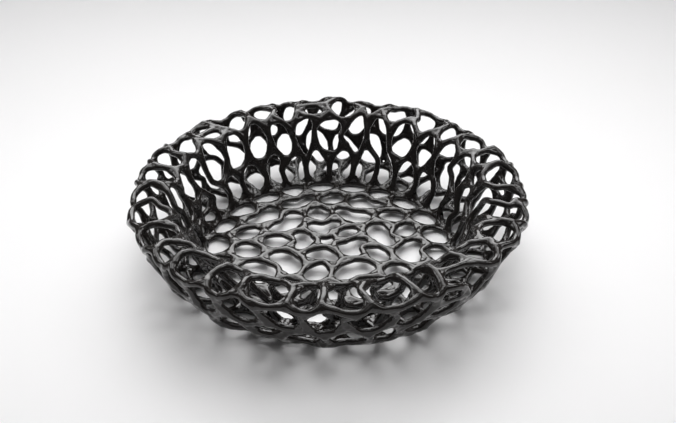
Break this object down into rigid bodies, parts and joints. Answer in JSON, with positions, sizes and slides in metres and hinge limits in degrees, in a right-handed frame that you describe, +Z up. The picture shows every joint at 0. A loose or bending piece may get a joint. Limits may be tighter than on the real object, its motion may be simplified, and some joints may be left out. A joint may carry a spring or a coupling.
{
  "type": "openwork produce basket",
  "caption": "Low round produce basket of black lacquered steel rod, with a double openwork wall, a wide rounded rim and an openwork floor.",
  "frame": {"origin": "centre of the basket on the surface that it stands on", "axes": "+Z up through the open top; +X to the right and -Y towards the viewer; the basket is round, so +X and +Y are otherwise alike"},
  "size_m": [0.3194, 0.3235, 0.0701],
  "materials": {
    "black_lacquer": "gloss black lacquer, slightly uneven"
  },
  "bodies": {
    "root": {"base_ring": "black_lacquer", "rib_01": "black_lacquer", "rib_02": "black_lacquer", "rib_03": "black_lacquer", "rib_04": "black_lacquer", "rib_05": "black_lacquer", "rib_06": "black_lacquer", "rib_07": "black_lacquer", "rib_08": "black_lacquer", "rib_09": "black_lacquer", "rib_10": "black_lacquer", "rib_11": "black_lacquer", "rib_12": "black_lacquer", "rib_13": "black_lacquer", "rib_14": "black_lacquer", "rib_15": "black_lacquer", "rib_16": "black_lacquer", "rib_17": "black_lacquer", "rib_18": "black_lacquer", "rib_19": "black_lacquer", "rib_20": "black_lacquer", "rib_21": "black_lacquer", "rib_22": "black_lacquer", "rib_23": "black_lacquer", "rib_24": "black_lacquer", "rib_25": "black_lacquer", "rib_26": "black_lacquer", "rib_27": "black_lacquer", "rib_28": "black_lacquer", "rib_29": "black_lacquer", "rib_30": "black_lacquer", "rib_31": "black_lacquer", "rib_32": "black_lacquer", "floor_ring_outer": "black_lacquer", "floor_ring_middle": "black_lacquer", "floor_ring_inner": "black_lacquer", "floor_hub": "black_lacquer"}
  },
  "joints": []
}
